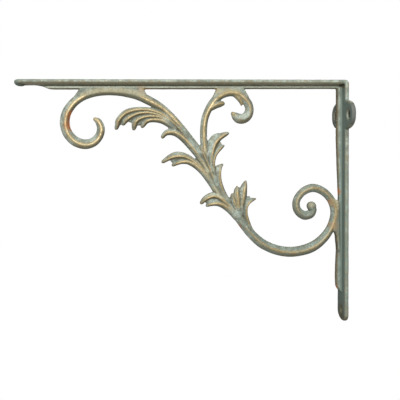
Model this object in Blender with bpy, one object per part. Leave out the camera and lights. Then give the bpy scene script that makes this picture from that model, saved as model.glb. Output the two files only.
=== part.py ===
"""A scrolled wall bracket of cast iron, 270 mm deep and 195 mm tall, in one piece.

A T-section arm carries a flat top, a T-section leg lies against the wall, and a leafy scroll braces the
corner between them. The wall is at x = 0, the arm reaches out along -X and +Z is up. The origin is on the
wall face, midway between the two wall screws. Shapes are given in millimetres and made in metres.
"""

import math

import bmesh
import bpy
from mathutils import Vector

MM = 0.001

# Driving dimensions of the arm and the leg, in millimetres
ARM_LENGTH = 270.0
HEIGHT = 195.0
TOP = 28.0
FLANGE_WIDTH = 20.0
FLANGE_THICK = 3.4
RIB_WIDTH = 5.0
RIB_DEPTH_TIP = 4.2
RIB_DEPTH_CORNER = 3.2
RIB_EDGE = 0.9
ARM_TONGUE = 23.0
LEG_TONGUE = 22.5
RIB_RAMP = 5.5
# The leg's rib stands off the wall strip by this much at each height, as (depth, z)
LEG_RIB = [(4.9, -132.0), (4.5, -118.0), (3.4, -98.0), (2.6, -66.0), (3.5, -46.0), (4.4, -20.0), (4.3, 15.0)]
END_ROUNDING = 6.5
CORNER_RADIUS = 3.0

# The rounded plate across the leg, and the screw holes. A fullness of 2 would make the plate an ellipse.
EAR_SPAN = 53.0
EAR_HEIGHT = 24.0
EAR_FULLNESS = 2.6
EAR_THICK = 3.0
EAR_HOLE_OFFSET = 17.2
EAR_HOLE_RADIUS = 2.6
EAR_SINK_RADIUS = 4.2
END_HOLE_RADIUS = 2.2
END_SINK_RADIUS = 3.3
END_HOLE_INSET = 8.0
SINK_DEPTH = 1.4

# Half the thickness of the scrollwork, front to back
ROD_DEPTH = 3.7
STEM_DEPTH = 4.0
LEAF_DEPTH = 4.3
WEB_DEPTH = 2.2

# The stations below were read off a flat view; these bring them to true size in the frame
SCROLL_STRETCH = 1.0053
SCROLL_TALLNESS = 0.9955
SCROLL_TURN = 0.0022
SCROLL_SHIFT = (0.4, 1.14)

# One scroll runs from the curl under the arm down to the spiral beside the leg.
# Each station is (x, z, half width) on its centre line.
LEFT_CURL = [
    (-203.5, -4.5, 1.6), (-200.9, -6.4, 2.6), (-198.9, -11.5, 3.1), (-200.1, -17.7, 3.3),
    (-204.7, -22.9, 3.6), (-211.4, -24.9, 3.9), (-219.3, -22.7, 3.9), (-225.4, -16.7, 3.9),
    (-228.2, -8.2, 3.9), (-227.0, 0.2, 3.8), (-222.8, 7.3, 3.6),
]
ARCH = [
    (-217.1, 12.4, 3.5), (-210.0, 16.0, 3.5), (-200.5, 18.3, 3.5), (-190.0, 18.8, 3.5),
    (-179.4, 17.6, 3.5), (-169.0, 15.0, 3.5), (-158.2, 10.0, 3.5), (-150.0, 5.4, 2.9),
    (-144.5, 0.6, 2.8), (-139.0, -5.4, 3.0),
]
DIAGONAL = [
    (-133.3, -13.0, 3.6), (-128.0, -20.7, 4.1), (-123.0, -27.0, 4.0), (-118.5, -33.7, 3.9),
    (-114.5, -40.8, 3.9), (-110.8, -48.0, 4.0), (-107.0, -55.0, 4.1), (-103.8, -62.0, 3.9),
    (-99.8, -69.8, 4.0), (-93.8, -77.0, 3.9), (-86.3, -85.3, 3.9), (-81.3, -92.8, 3.6),
]
LOWER_ARC = [
    (-77.3, -98.0, 3.5), (-68.2, -106.2, 3.8), (-56.0, -111.6, 3.9), (-43.2, -113.0, 4.0),
    (-29.2, -109.8, 4.0), (-19.2, -102.7, 3.7), (-12.7, -93.6, 3.3), (-9.6, -84.0, 3.2),
]
SPIRAL = [
    (-9.8, -76.5, 3.2), (-12.8, -69.4, 3.1), (-18.6, -63.6, 3.1), (-26.7, -60.7, 3.3),
    (-34.9, -63.8, 3.0), (-40.1, -71.0, 2.9), (-39.7, -78.4, 3.1), (-34.4, -83.0, 3.5),
    (-28.9, -82.0, 3.4), (-26.9, -78.6, 3.0),
]
SPIRAL_EYE = (-28.1, -75.6)
SPIRAL_EYE_RADIUS = 3.9

# A thinner stem branches up to the arm and ends in a small curl with two thorns
BRANCH = [
    (-108.5, -50.0, 2.5), (-111.6, -41.5, 2.7), (-114.0, -33.0, 2.75), (-115.3, -24.0, 2.75),
    (-115.6, -14.0, 2.75), (-114.7, -5.0, 2.75), (-112.2, 2.4, 2.8), (-108.4, 9.0, 3.0),
    (-103.4, 14.0, 3.1), (-97.8, 16.9, 3.2),
]
SMALL_CURL = [
    (-92.5, 17.6, 3.2), (-87.5, 16.2, 3.3), (-83.0, 12.8, 3.4), (-79.6, 8.5, 3.4),
    (-78.4, 3.5, 3.4), (-79.8, -1.2, 3.7), (-83.2, -3.9, 3.9), (-87.2, -3.7, 3.9), (-90.4, -1.3, 2.9),
    (-91.9, 0.2, 1.5),
]
THORNS = {
    "thorn_outer": [(-109.5, 5.0, 1.8), (-105.4, 8.0, 2.0), (-101.8, 8.9, 1.7), (-99.8, 8.8, 1.2)],
    "thorn_inner": [(-89.6, 14.8, 1.6), (-86.6, 12.2, 1.9), (-85.0, 9.2, 1.3), (-84.8, 7.6, 0.9)],
}

# Leaves: each finger of a leaf is a ridge from its tip to where it sinks into the stem
LEAF_UPPER = {
    "upper_1": [
        (-186.6, -11.8, 1.2), (-185.3, -6.6, 2.1), (-181.6, -1.4, 2.4), (-175.0, 2.3, 2.4),
        (-166.0, 3.5, 1.9), (-157.0, 2.6, 2.0), (-149.0, -0.6, 2.0), (-142.0, -5.4, 1.9),
        (-135.5, -12.0, 1.7),
    ],
    "upper_2": [
        (-180.7, -8.2, 1.3), (-179.3, -5.2, 2.1), (-175.5, -1.9, 2.0), (-169.0, 0.0, 1.8),
        (-160.0, -0.2, 1.8), (-151.0, -2.6, 1.8), (-143.5, -7.0, 1.8), (-137.0, -13.2, 1.6),
    ],
    "upper_3": [
        (-172.6, -12.0, 1.3), (-172.2, -8.4, 2.7), (-168.3, -4.8, 2.4), (-161.0, -3.1, 1.9),
        (-153.0, -4.2, 1.9), (-145.6, -7.9, 1.9), (-139.0, -13.4, 1.7),
    ],
    "upper_4": [
        (-165.4, -10.3, 1.0), (-163.1, -7.1, 1.7), (-158.3, -5.1, 1.8), (-151.5, -5.7, 2.0),
        (-144.5, -8.6, 2.1), (-138.0, -13.6, 2.1),
    ],
    "upper_5": [
        (-148.7, -17.9, 1.5), (-146.2, -15.7, 2.1), (-141.5, -14.9, 2.5), (-136.0, -16.6, 2.7),
        (-130.6, -20.6, 2.8), (-125.6, -26.0, 2.6), (-121.0, -32.0, 2.2),
    ],
}
LEAF_MIDDLE = {
    "middle_1": [
        (-147.7, -38.9, 1.3), (-144.0, -36.2, 2.4), (-139.0, -33.9, 3.0), (-133.0, -34.3, 2.8),
        (-127.0, -37.1, 2.5), (-121.3, -41.2, 2.5), (-116.0, -46.5, 2.7), (-111.5, -53.0, 2.6),
    ],
    "middle_2": [
        (-139.4, -41.4, 1.5), (-135.5, -39.8, 2.0), (-130.0, -39.2, 2.2), (-124.3, -41.0, 2.3),
        (-118.6, -45.0, 2.4), (-113.6, -50.8, 2.4), (-109.2, -57.5, 2.4), (-105.6, -63.5, 2.2),
    ],
}
LEAF_LOWER = {
    "lower_1": [
        (-116.6, -72.4, 1.4), (-114.6, -69.6, 2.4), (-110.5, -67.2, 2.7), (-106.0, -67.2, 2.5),
        (-101.5, -69.9, 2.5), (-97.0, -74.6, 2.4),
    ],
    "lower_2": [
        (-112.0, -74.4, 1.2), (-108.5, -73.5, 1.8), (-104.0, -73.1, 2.0), (-99.3, -75.0, 2.2),
        (-94.6, -78.9, 2.2), (-89.5, -84.0, 2.0),
    ],
}
LEAF_INNER = {
    "inner_1": [
        (-96.8, -16.2, 1.3), (-99.5, -17.7, 2.2), (-103.0, -20.2, 2.7), (-105.8, -24.3, 2.9),
        (-108.0, -30.0, 2.7), (-109.7, -36.5, 2.4), (-110.0, -43.5, 2.2), (-108.3, -50.5, 2.0),
    ],
    "inner_2": [
        (-100.1, -26.2, 1.0), (-102.6, -27.8, 1.6), (-105.4, -30.6, 1.9), (-107.7, -35.0, 1.9),
        (-108.7, -40.0, 1.9), (-108.2, -46.0, 2.0), (-106.5, -52.5, 2.0),
    ],
    "inner_3": [
        (-100.8, -41.7, 0.8), (-102.1, -44.4, 1.3), (-103.6, -48.8, 1.8), (-103.8, -54.3, 2.1),
        (-102.5, -60.0, 2.3), (-99.6, -66.2, 2.3),
    ],
}
LEAF_CUP = {
    "cup_1": [
        (-92.4, -66.4, 0.9), (-92.2, -69.2, 1.6), (-91.0, -74.0, 2.0), (-88.9, -80.0, 2.0),
        (-86.0, -86.0, 1.8),
    ],
    "cup_2": [
        (-88.3, -60.2, 0.9), (-88.6, -64.0, 1.9), (-88.2, -70.0, 2.3), (-87.0, -77.0, 2.3),
        (-85.0, -84.5, 2.0),
    ],
    "cup_3": [
        (-81.6, -55.7, 0.9), (-82.3, -59.5, 2.1), (-83.2, -65.0, 3.1), (-84.5, -72.0, 2.7),
        (-84.6, -79.0, 2.3), (-83.0, -86.5, 2.0),
    ],
    "cup_4": [
        (-74.6, -69.7, 0.8), (-77.4, -70.9, 1.5), (-80.3, -73.4, 1.9), (-82.4, -77.5, 2.0),
        (-82.6, -83.0, 2.1), (-81.0, -89.5, 2.2),
    ],
}
# The thinner flesh of the leaves between their ridges
LEAF_FLESH = {
    "flesh_upper_12": [(-183.1, -8.3, 0.8), (-180.6, -3.9, 1.6), (-175.0, -0.2, 1.8), (-166.0, 1.3, 1.6)],
    "flesh_upper_23": [(-175.2, -5.9, 1.2), (-172.0, -3.6, 1.8), (-166.0, -2.2, 1.9), (-158.0, -2.2, 1.6)],
    "flesh_upper_34": [(-167.9, -8.3, 1.3), (-164.6, -5.3, 1.8), (-159.5, -4.4, 1.8), (-152.0, -5.0, 1.6)],
    "flesh_upper_45": [(-143.0, -11.6, 1.0), (-139.5, -13.2, 1.6), (-134.5, -16.4, 1.8)],
    "flesh_middle": [(-140.6, -38.2, 1.6), (-136.2, -37.0, 2.2), (-130.0, -36.9, 2.2), (-123.0, -41.0, 2.0)],
    "flesh_lower": [(-112.7, -71.6, 1.5), (-108.6, -70.6, 2.1), (-103.5, -71.2, 2.2), (-98.5, -75.0, 2.0)],
    "flesh_inner_1": [(-104.0, -17.6, 1.8), (-107.2, -20.4, 2.8), (-109.9, -26.0, 3.0), (-111.6, -34.0, 2.4)],
    "flesh_inner_2": [(-102.2, -24.6, 1.2), (-105.2, -26.8, 1.8), (-107.5, -31.0, 1.8), (-109.0, -37.0, 1.6)],
    "flesh_scoop": [(-103.9, -43.6, 1.6), (-105.4, -48.0, 2.0), (-105.0, -55.0, 2.0)],
    "flesh_cup_1": [(-90.6, -65.6, 0.7), (-90.4, -69.0, 1.3), (-89.6, -75.0, 1.5), (-87.5, -81.0, 1.5)],
    "flesh_cup_2": [(-85.9, -60.9, 0.8), (-86.0, -65.0, 1.6), (-86.0, -71.0, 1.8), (-85.6, -78.0, 1.8)],
    "flesh_cup_3": [(-78.9, -68.4, 1.1), (-80.8, -70.6, 2.2), (-82.6, -74.5, 2.2), (-83.4, -80.0, 2.0)],
}
FLESH_DEPTH = 3.0
TIP_DEPTH_SHARE = 0.5

# Flat webs where the scroll is cast onto the arm and the leg, as (x, z) outlines
WEB_CURL = [(-230.9, -1.0), (-227.1, 5.2), (-222.3, 11.6), (-215.8, 20.8), (-205.0, 21.5), (-212.0, 15.0),
            (-222.0, 7.5), (-227.5, -1.0)]
WEB_ARCH = [(-217.0, 12.5), (-213.0, 21.5), (-163.5, 21.5), (-163.2, 18.6), (-161.0, 14.5), (-168.0, 14.5),
            (-190.0, 17.5)]
WEB_SMALL = [(-104.9, 21.5), (-107.1, 16.3), (-109.0, 12.6), (-102.0, 12.5), (-95.0, 16.5), (-86.0, 15.0),
             (-80.6, 12.0), (-79.0, 14.0), (-82.6, 20.0), (-82.6, 21.5)]
WEB_LEG = [(-11.5, -68.5), (-6.2, -71.5), (-6.2, -99.0), (-8.2, -99.2), (-10.2, -96.6), (-12.0, -92.0),
           (-10.0, -82.0)]

# Edges shorter than this are closed up after the joining
SEAM = 0.02

# How finely a curve is cut: at most this length and this turn between rings
LONGEST_STEP = 5.5
LARGEST_TURN = math.radians(15)

IRON = (0.36, 0.42, 0.37, 1.0)


def new_object(name, bm):
    """Turns a bmesh in millimetres into an object in metres, with its faces pointing out."""
    bmesh.ops.recalc_face_normals(bm, faces=bm.faces)
    bmesh.ops.scale(bm, vec=(MM, MM, MM), verts=bm.verts)
    mesh = bpy.data.meshes.new(name)
    bm.to_mesh(mesh)
    bm.free()
    obj = bpy.data.objects.new(name, mesh)
    bpy.context.scene.collection.objects.link(obj)
    return obj


def boolean(obj, others, operation):
    """Joins the others to obj, or cuts them away, all in one exact operation, and removes them."""
    group = bpy.data.collections.new(operation.lower())
    for other in others:
        group.objects.link(other)
    modifier = obj.modifiers.new(operation.lower(), "BOOLEAN")
    modifier.operation = operation
    modifier.solver = "EXACT"
    modifier.operand_type = "COLLECTION"
    modifier.collection = group
    evaluated = obj.evaluated_get(bpy.context.evaluated_depsgraph_get())
    mesh = bpy.data.meshes.new_from_object(evaluated)
    obj.modifiers.clear()
    obj.data = mesh
    for other in others:
        bpy.data.objects.remove(other)
    bpy.data.collections.remove(group)


def slab(name, outline, place, thickness):
    """Extrudes a closed outline; place turns an outline point and a depth into (x, y, z)."""
    bm = bmesh.new()
    low = [bm.verts.new(place(u, v, -thickness / 2)) for u, v in outline]
    face = bm.faces.new(low)
    moved = bmesh.ops.extrude_face_region(bm, geom=[face])
    verts = [g for g in moved["geom"] if isinstance(g, bmesh.types.BMVert)]
    shift = Vector(place(0, 0, thickness / 2)) - Vector(place(0, 0, -thickness / 2))
    bmesh.ops.translate(bm, vec=shift, verts=verts)
    return new_object(name, bm)


def arc(centre, radius, start, end, count):
    """Points on a circle, from start to end in degrees, both ends included."""
    angles = [math.radians(start + (end - start) * i / count) for i in range(count + 1)]
    return [(centre[0] + radius * math.cos(a), centre[1] + radius * math.sin(a)) for a in angles]


def settled(x, z):
    """A point of the scrollwork's flat view, brought to its true place in the frame."""
    return (x * SCROLL_STRETCH - z * SCROLL_TURN + SCROLL_SHIFT[0],
            z * SCROLL_TALLNESS + x * SCROLL_TURN + SCROLL_SHIFT[1])


def catmull(a, b, c, d, t):
    """A smooth curve from b to c, with a and d as neighbours."""
    return tuple(
        0.5 * (2 * q + (r - p) * t + (2 * p - 5 * q + 4 * r - s) * t * t + (3 * q - p - 3 * r + s) * t**3)
        for p, q, r, s in zip(a, b, c, d)
    )


def smooth_line(stations):
    """Rings along a smooth curve through the stations, closer together where it bends."""
    pieces_per_span = 24
    stations = [(*settled(x, z), half) for x, z, half in stations]
    ends = [stations[0]] + stations + [stations[-1]]
    fine = [
        catmull(*ends[i:i + 4], k / pieces_per_span)
        for i in range(len(stations) - 1)
        for k in range(pieces_per_span)
    ] + [stations[-1]]
    kept = [fine[0]]
    length, turn = 0.0, 0.0
    for before, here, after in zip(fine, fine[1:], fine[2:]):
        step = Vector((here[0] - before[0], here[1] - before[1]))
        ahead = Vector((after[0] - here[0], after[1] - here[1]))
        length += step.length
        turn += abs(step.angle(ahead, 0.0))
        if length > LONGEST_STEP or turn > LARGEST_TURN:
            kept.append(here)
            length, turn = 0.0, 0.0
    return kept + [fine[-1]]


# The ridged cross-section: (share of the half width, share of the half depth)
RIDGE = [
    (1.0, 0.0), (0.76, 0.56), (0.0, 1.0), (-0.76, 0.56),
    (-1.0, 0.0), (-0.76, -0.56), (0.0, -1.0), (0.76, -0.56),
]
# Each end is rounded off by rings at a share of the half width beyond it, shrunk to a share of their size
END_RINGS = [(0.45, 0.8), (0.8, 0.4)]


def ridge(name, stations, depth_at):
    """Sweeps the ridged section along the stations; depth_at gives half the depth at a share of the length."""
    line = smooth_line(stations)
    rings = []
    for i, (x, z, half) in enumerate(line):
        before, after = line[max(i - 1, 0)], line[min(i + 1, len(line) - 1)]
        along = Vector((after[0] - before[0], after[1] - before[1])).normalized()
        rings.append((Vector((x, z)), along, half, depth_at(i / (len(line) - 1))))
    first, last = rings[0], rings[-1]
    head = [(first[0] - first[1] * first[2] * out, first[1], first[2] * size, first[3] * size)
            for out, size in reversed(END_RINGS)]
    tail = [(last[0] + last[1] * last[2] * out, last[1], last[2] * size, last[3] * size)
            for out, size in END_RINGS]
    bm = bmesh.new()
    loops = []
    for centre, along, half, depth in head + rings + tail:
        across = Vector((-along.y, along.x))
        points = [(centre + across * half * u, depth * v) for u, v in RIDGE]
        loops.append([bm.verts.new((p.x, y, p.y)) for p, y in points])
    count = len(RIDGE)
    for one, two in zip(loops, loops[1:]):
        for k in range(count):
            bm.faces.new((one[k], one[(k + 1) % count], two[(k + 1) % count], two[k]))
    bm.faces.new(loops[0])
    bm.faces.new(loops[-1])
    return new_object(name, bm)


def rod_depth(share):
    """Half the depth of the scroll: full along its length, thinner at both ends."""
    fade = min(1.0, 0.55 + 9.0 * min(share, 1.0 - share))
    swell = math.sin(math.pi * share) ** 2
    return (ROD_DEPTH + (STEM_DEPTH - ROD_DEPTH) * swell) * fade


def leaf_depth(share):
    """Half the depth of a leaf's finger: thin at its tip, full where it leaves the stem."""
    return LEAF_DEPTH * (TIP_DEPTH_SHARE + (1.0 - TIP_DEPTH_SHARE) * math.sin(math.pi * min(share, 0.5)))


def flesh_depth(share):
    """Half the depth of the thin flesh between two ridges."""
    return FLESH_DEPTH * (0.6 + 0.4 * math.sin(math.pi * min(share, 0.5)))


def xz(u, v, depth):
    return (u, depth, v)


def flanges():
    """The flat strip that runs along the arm, round the corner and down the wall."""
    r = CORNER_RADIUS
    corner = arc((-r, TOP - r), r, 90, 0, 5)
    outline = [(-ARM_LENGTH, TOP)] + corner + [
        (0.0, TOP - HEIGHT), (-FLANGE_THICK, TOP - HEIGHT), (-FLANGE_THICK, TOP - FLANGE_THICK),
        (-ARM_LENGTH, TOP - FLANGE_THICK),
    ]
    return slab("flanges", outline, xz, FLANGE_WIDTH)


def round_end(name, place):
    """What a round end takes off a strip; u runs along the strip, from 0 at its very end."""
    beyond = 0.02
    half = FLANGE_WIDTH / 2
    curve = [(END_ROUNDING * (1.0 + x), (half + beyond) * y) for x, y in arc((0.0, 0.0), 1.0, 84, 276, 14)]
    outline = curve + [(END_ROUNDING, -half - 2.0), (-2.0, -half - 2.0), (-2.0, half + 2.0),
                       (END_ROUNDING, half + 2.0)]
    return slab(name, outline, place, 4 * FLANGE_THICK)


def ears():
    """The rounded plate across the leg that carries the two wall screws."""
    count = 36
    angles = [2 * math.pi * (i + 0.5) / count for i in range(count)]
    outline = [(EAR_SPAN / 2 * fuller(math.cos(a)), EAR_HEIGHT / 2 * fuller(math.sin(a))) for a in angles]
    return slab("ears", outline, lambda u, v, d: (d - EAR_THICK / 2, u, v), EAR_THICK)


def fuller(share):
    """Moves a coordinate of the unit circle outwards, so that an oval gets fuller shoulders."""
    return math.copysign(abs(share) ** (2.0 / EAR_FULLNESS), share)


def rib():
    """The rib under the arm and down the leg, in one bent strip with sloping ends."""
    under = TOP - FLANGE_THICK
    inside = 1.0
    tip = ARM_TONGUE - ARM_LENGTH
    foot = TOP - HEIGHT + LEG_TONGUE
    leg = [(-FLANGE_THICK - depth, z) for depth, z in LEG_RIB]
    free = [
        (-FLANGE_THICK, foot), (leg[0][0], foot + RIB_RAMP), *leg, (leg[-1][0], under - RIB_DEPTH_CORNER),
        (tip + RIB_RAMP, under - RIB_DEPTH_TIP), (tip, under),
    ]
    outline = [(tip, TOP - inside), (-inside, TOP - inside), (-inside, foot)] + free
    obj = slab("rib", outline, xz, RIB_WIDTH)
    bm = bmesh.new()
    bm.from_mesh(obj.data)
    edges = [e for e in bm.edges if is_free_edge(e)]
    bmesh.ops.bevel(bm, geom=edges, offset=RIB_EDGE * MM, segments=1, affect="EDGES")
    bm.to_mesh(obj.data)
    bm.free()
    return obj


def is_free_edge(edge):
    """True for the rib's long edges away from the flanges, which the mould rounds."""
    a, b = (v.co / MM for v in edge.verts)
    lengthwise = abs(a.y - b.y) < 0.01
    away = all(p.x < -FLANGE_THICK - 1.0 and p.z < TOP - FLANGE_THICK - 1.0 for p in (a, b))
    return lengthwise and away


def screw_hole(name, centre, direction, radius, sink_radius, sink_depth):
    """A round cutter with a cone for the screw's head, centred on the face where the head sits."""
    over = 0.7
    sides = 16
    slope = (sink_radius - radius) / sink_depth
    profile = [(radius, 3 * FLANGE_THICK), (radius, sink_depth), (sink_radius + slope * over, -over)]
    bm = bmesh.new()
    loops = []
    for reach, along in profile:
        ring = arc((0.0, 0.0), reach, 0, 360 - 360 / sides, sides - 1)
        loops.append([bm.verts.new((u, v, -along)) for u, v in ring])
    for one, two in zip(loops, loops[1:]):
        for k in range(sides):
            bm.faces.new((one[k], one[(k + 1) % sides], two[(k + 1) % sides], two[k]))
    bm.faces.new(loops[0])
    bm.faces.new(loops[-1])
    turn = Vector((0, 0, 1)).rotation_difference(Vector(direction)).to_matrix()
    bmesh.ops.rotate(bm, cent=(0, 0, 0), matrix=turn, verts=bm.verts)
    bmesh.ops.translate(bm, vec=centre, verts=bm.verts)
    return new_object(name, bm)


def cutters():
    """The round ends of the strips, and the countersunk screw holes."""
    bottom = TOP - HEIGHT
    foot = (-FLANGE_THICK, 0.0, bottom + END_HOLE_INSET)
    tip = (END_HOLE_INSET - ARM_LENGTH, 0.0, TOP - FLANGE_THICK)
    found = [
        round_end("arm_end", lambda u, v, d: (u - ARM_LENGTH, v, TOP + d)),
        round_end("leg_end", lambda u, v, d: (d, v, u + bottom)),
        screw_hole("foot_hole", foot, (-1, 0, 0), END_HOLE_RADIUS, END_SINK_RADIUS, SINK_DEPTH),
        screw_hole("tip_hole", tip, (0, 0, -1), END_HOLE_RADIUS, END_SINK_RADIUS, SINK_DEPTH),
    ]
    for side in (-1, 1):
        centre = (-EAR_THICK, side * EAR_HOLE_OFFSET, 0.0)
        found.append(screw_hole("ear_hole", centre, (-1, 0, 0), EAR_HOLE_RADIUS, EAR_SINK_RADIUS, SINK_DEPTH))
    return found


def spiral_eye():
    """The round boss at the heart of the lower spiral."""
    bm = bmesh.new()
    bmesh.ops.create_uvsphere(bm, u_segments=12, v_segments=8, radius=SPIRAL_EYE_RADIUS)
    sideways = Vector((0, 0, 1)).rotation_difference(Vector((0, 1, 0))).to_matrix()
    bmesh.ops.rotate(bm, cent=(0, 0, 0), matrix=sideways, verts=bm.verts)
    x, z = settled(*SPIRAL_EYE)
    bmesh.ops.translate(bm, vec=(x, 0, z), verts=bm.verts)
    return new_object("spiral_eye", bm)


def scrollwork():
    """Every rod, leaf and web of the brace, as overlapping solids."""
    parts = [
        ridge("scroll", LEFT_CURL + ARCH + DIAGONAL + LOWER_ARC + SPIRAL, rod_depth),
        ridge("branch", BRANCH + SMALL_CURL, lambda share: rod_depth(share) - 0.25),
        spiral_eye(),
    ]
    for name, stations in THORNS.items():
        parts.append(ridge(name, stations, lambda share: 2.4))
    for number, leaf in enumerate((LEAF_UPPER, LEAF_MIDDLE, LEAF_LOWER, LEAF_INNER, LEAF_CUP)):
        for finger, (name, stations) in enumerate(leaf.items()):
            lower = 0.07 * finger + 0.03 * number
            parts.append(ridge(name, stations, lambda share, lower=lower: leaf_depth(share) - lower))
    for name, stations in LEAF_FLESH.items():
        parts.append(ridge(name, stations, flesh_depth))
    for name, outline in (("web_curl", WEB_CURL), ("web_arch", WEB_ARCH), ("web_small", WEB_SMALL),
                          ("web_leg", WEB_LEG)):
        outline = [settled(x, z) for x, z in outline]
        parts.append(slab(name, outline, xz, 2 * WEB_DEPTH))
    return parts


def tidy(obj):
    """Closes the hairline seams that joining leaves, and cuts every face into triangles."""
    bm = bmesh.new()
    bm.from_mesh(obj.data)
    bmesh.ops.dissolve_degenerate(bm, edges=bm.edges, dist=SEAM * MM)
    bmesh.ops.triangulate(bm, faces=bm.faces)
    bm.to_mesh(obj.data)
    bm.free()


def patinated_iron():
    """Cast iron with a sage-green patina."""
    material = bpy.data.materials.new("patinated_iron")
    material.use_nodes = True
    shader = material.node_tree.nodes["Principled BSDF"]
    shader.inputs["Base Color"].default_value = IRON
    shader.inputs["Roughness"].default_value = 0.55
    shader.inputs["Metallic"].default_value = 0.35
    return material


def main():
    for obj in list(bpy.data.objects):
        bpy.data.objects.remove(obj)
    bracket = flanges()
    boolean(bracket, [ears()], "UNION")
    boolean(bracket, cutters(), "DIFFERENCE")
    boolean(bracket, [rib()] + scrollwork(), "UNION")
    tidy(bracket)
    bracket.name = "bracket"
    bracket.data.name = "bracket"
    bracket.data.materials.clear()
    bracket.data.materials.append(patinated_iron())
    bracket.data.shade_smooth()
    bracket.data.set_sharp_from_angle(angle=math.radians(32))
    print("triangles:", len(bracket.data.polygons))


main()
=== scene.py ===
# %% [markdown]
# # A scrolled cast-iron wall bracket
# The real bracket is one sand casting. A T-section arm and leg meet in a corner, and a leafy scroll braces
# them. This lesson draws the same lines that the pattern maker would carve, fuses them as molten iron does,
# and then paints the sage-green patina and the bronze that is rubbed on the ridges.

import math

import bpy
import numpy as np
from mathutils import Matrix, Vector, kdtree


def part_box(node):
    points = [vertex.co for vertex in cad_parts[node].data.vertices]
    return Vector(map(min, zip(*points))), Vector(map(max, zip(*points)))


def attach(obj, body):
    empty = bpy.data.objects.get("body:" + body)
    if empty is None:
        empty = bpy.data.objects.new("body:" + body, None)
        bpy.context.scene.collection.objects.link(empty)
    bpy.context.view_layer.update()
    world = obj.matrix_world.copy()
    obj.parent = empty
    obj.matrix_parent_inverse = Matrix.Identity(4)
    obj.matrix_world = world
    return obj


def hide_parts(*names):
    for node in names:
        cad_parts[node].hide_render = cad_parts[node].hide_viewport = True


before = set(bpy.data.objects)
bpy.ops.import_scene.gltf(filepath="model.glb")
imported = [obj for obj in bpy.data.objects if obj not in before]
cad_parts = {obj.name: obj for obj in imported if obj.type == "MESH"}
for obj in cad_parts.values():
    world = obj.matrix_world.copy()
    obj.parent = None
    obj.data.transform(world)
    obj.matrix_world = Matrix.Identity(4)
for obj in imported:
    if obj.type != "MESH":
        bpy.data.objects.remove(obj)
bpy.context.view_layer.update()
MM = 0.001
low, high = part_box("bracket")
print("solid bracket, mm:", [round((b - a) / MM, 1) for a, b in zip(low, high)])

# %% [markdown]
# ## Sizes
# All sizes are in millimetres. The wall is at x = 0, the arm reaches out along -X, and the origin is midway
# between the two wall screws. They are the sizes of the solid part, so that the dressed casting covers it.

# %% Named sizes
ARM_LENGTH = 270.0
HEIGHT = 195.0
TOP = 28.0
FLANGE_WIDTH = 20.0
FLANGE_THICK = 3.4
END_ROUNDING = 6.5
CORNER_RADIUS = 3.0
RIB_WIDTH = 5.0
RIB_DEPTH_TIP = 4.2
RIB_DEPTH_CORNER = 3.2
ARM_TONGUE = 23.0
LEG_TONGUE = 22.5
RIB_RAMP = 5.5
LEG_RIB = [(4.9, -132.0), (4.5, -118.0), (3.4, -98.0), (2.6, -66.0), (3.5, -46.0), (4.4, -20.0), (4.3, 15.0)]
EAR_SPAN = 53.0
EAR_HEIGHT = 24.0
EAR_FULLNESS = 2.6
EAR_THICK = 3.4
EAR_HOLE_OFFSET = 17.2
EAR_HOLE_RADIUS = 2.6
EAR_SINK_RADIUS = 4.2
END_HOLE_RADIUS = 2.2
END_SINK_RADIUS = 3.3
END_HOLE_INSET = 8.0
SINK_DEPTH = 1.4
BOTTOM = TOP - HEIGHT

# %% [markdown]
# The scroll's lines are given as stations, each (x, z, half width). They were read off a flat view of the
# bracket, and `settled` brings them to their true place in the frame.

# %% Stations of the scroll
SCROLL_STRETCH = 1.0053
SCROLL_TALLNESS = 0.9955
SCROLL_TURN = 0.0022
SCROLL_SHIFT = (0.4, 1.14)

UPPER_SCROLL = [
    (-203.5, -4.5, 1.6), (-200.9, -6.4, 2.6), (-198.9, -11.5, 3.1), (-200.1, -17.7, 3.3),
    (-204.7, -22.9, 3.6), (-211.4, -24.9, 3.9), (-219.3, -22.7, 3.9), (-225.4, -16.7, 3.9),
    (-228.2, -8.2, 3.9), (-227.0, 0.2, 3.8), (-222.8, 7.3, 3.6),
    (-217.1, 12.4, 3.5), (-210.0, 16.0, 3.5), (-200.5, 18.3, 3.5), (-190.0, 18.8, 3.5),
    (-179.4, 17.6, 3.5), (-169.0, 15.0, 3.5), (-158.2, 10.0, 3.5), (-150.0, 5.4, 2.9),
    (-144.8, 1.0, 2.7), (-140.0, -3.6, 2.5), (-135.0, -9.1, 2.3), (-130.0, -15.0, 2.1),
    (-125.0, -21.4, 2.0), (-120.2, -28.0, 1.9), (-116.2, -34.5, 1.6), (-113.0, -41.0, 1.2),
]
STEM = [
    (-141.5, -3.0, 2.2), (-139.0, -5.9, 2.8), (-133.3, -13.0, 3.5), (-128.0, -20.7, 3.9),
    (-123.0, -27.0, 3.9), (-118.5, -33.7, 3.9), (-114.5, -40.8, 3.9), (-110.8, -48.0, 4.0),
    (-107.0, -55.0, 4.1), (-103.8, -62.0, 3.9), (-99.8, -69.8, 4.0), (-93.8, -77.0, 3.9),
    (-86.3, -85.3, 3.9), (-81.3, -92.8, 3.6), (-77.3, -98.0, 3.4), (-72.0, -103.1, 3.2),
]
LOWER_SCROLL = [
    (-93.0, -80.6, 1.6), (-88.2, -85.6, 2.4), (-82.9, -91.6, 3.1), (-77.3, -98.0, 3.5),
    (-68.2, -106.2, 3.8), (-56.0, -111.6, 3.9), (-43.2, -113.0, 4.0), (-29.2, -109.8, 4.0),
    (-19.2, -102.7, 3.7), (-12.7, -93.6, 3.3), (-9.6, -84.0, 3.2), (-9.8, -76.5, 3.2), (-12.8, -69.4, 3.1),
    (-18.6, -63.6, 3.1), (-26.7, -60.7, 3.3), (-34.9, -63.8, 3.0), (-40.1, -71.0, 2.9), (-39.7, -78.4, 3.1),
    (-34.4, -83.0, 3.5), (-28.9, -82.0, 3.4), (-26.9, -78.6, 3.0),
]
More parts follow.
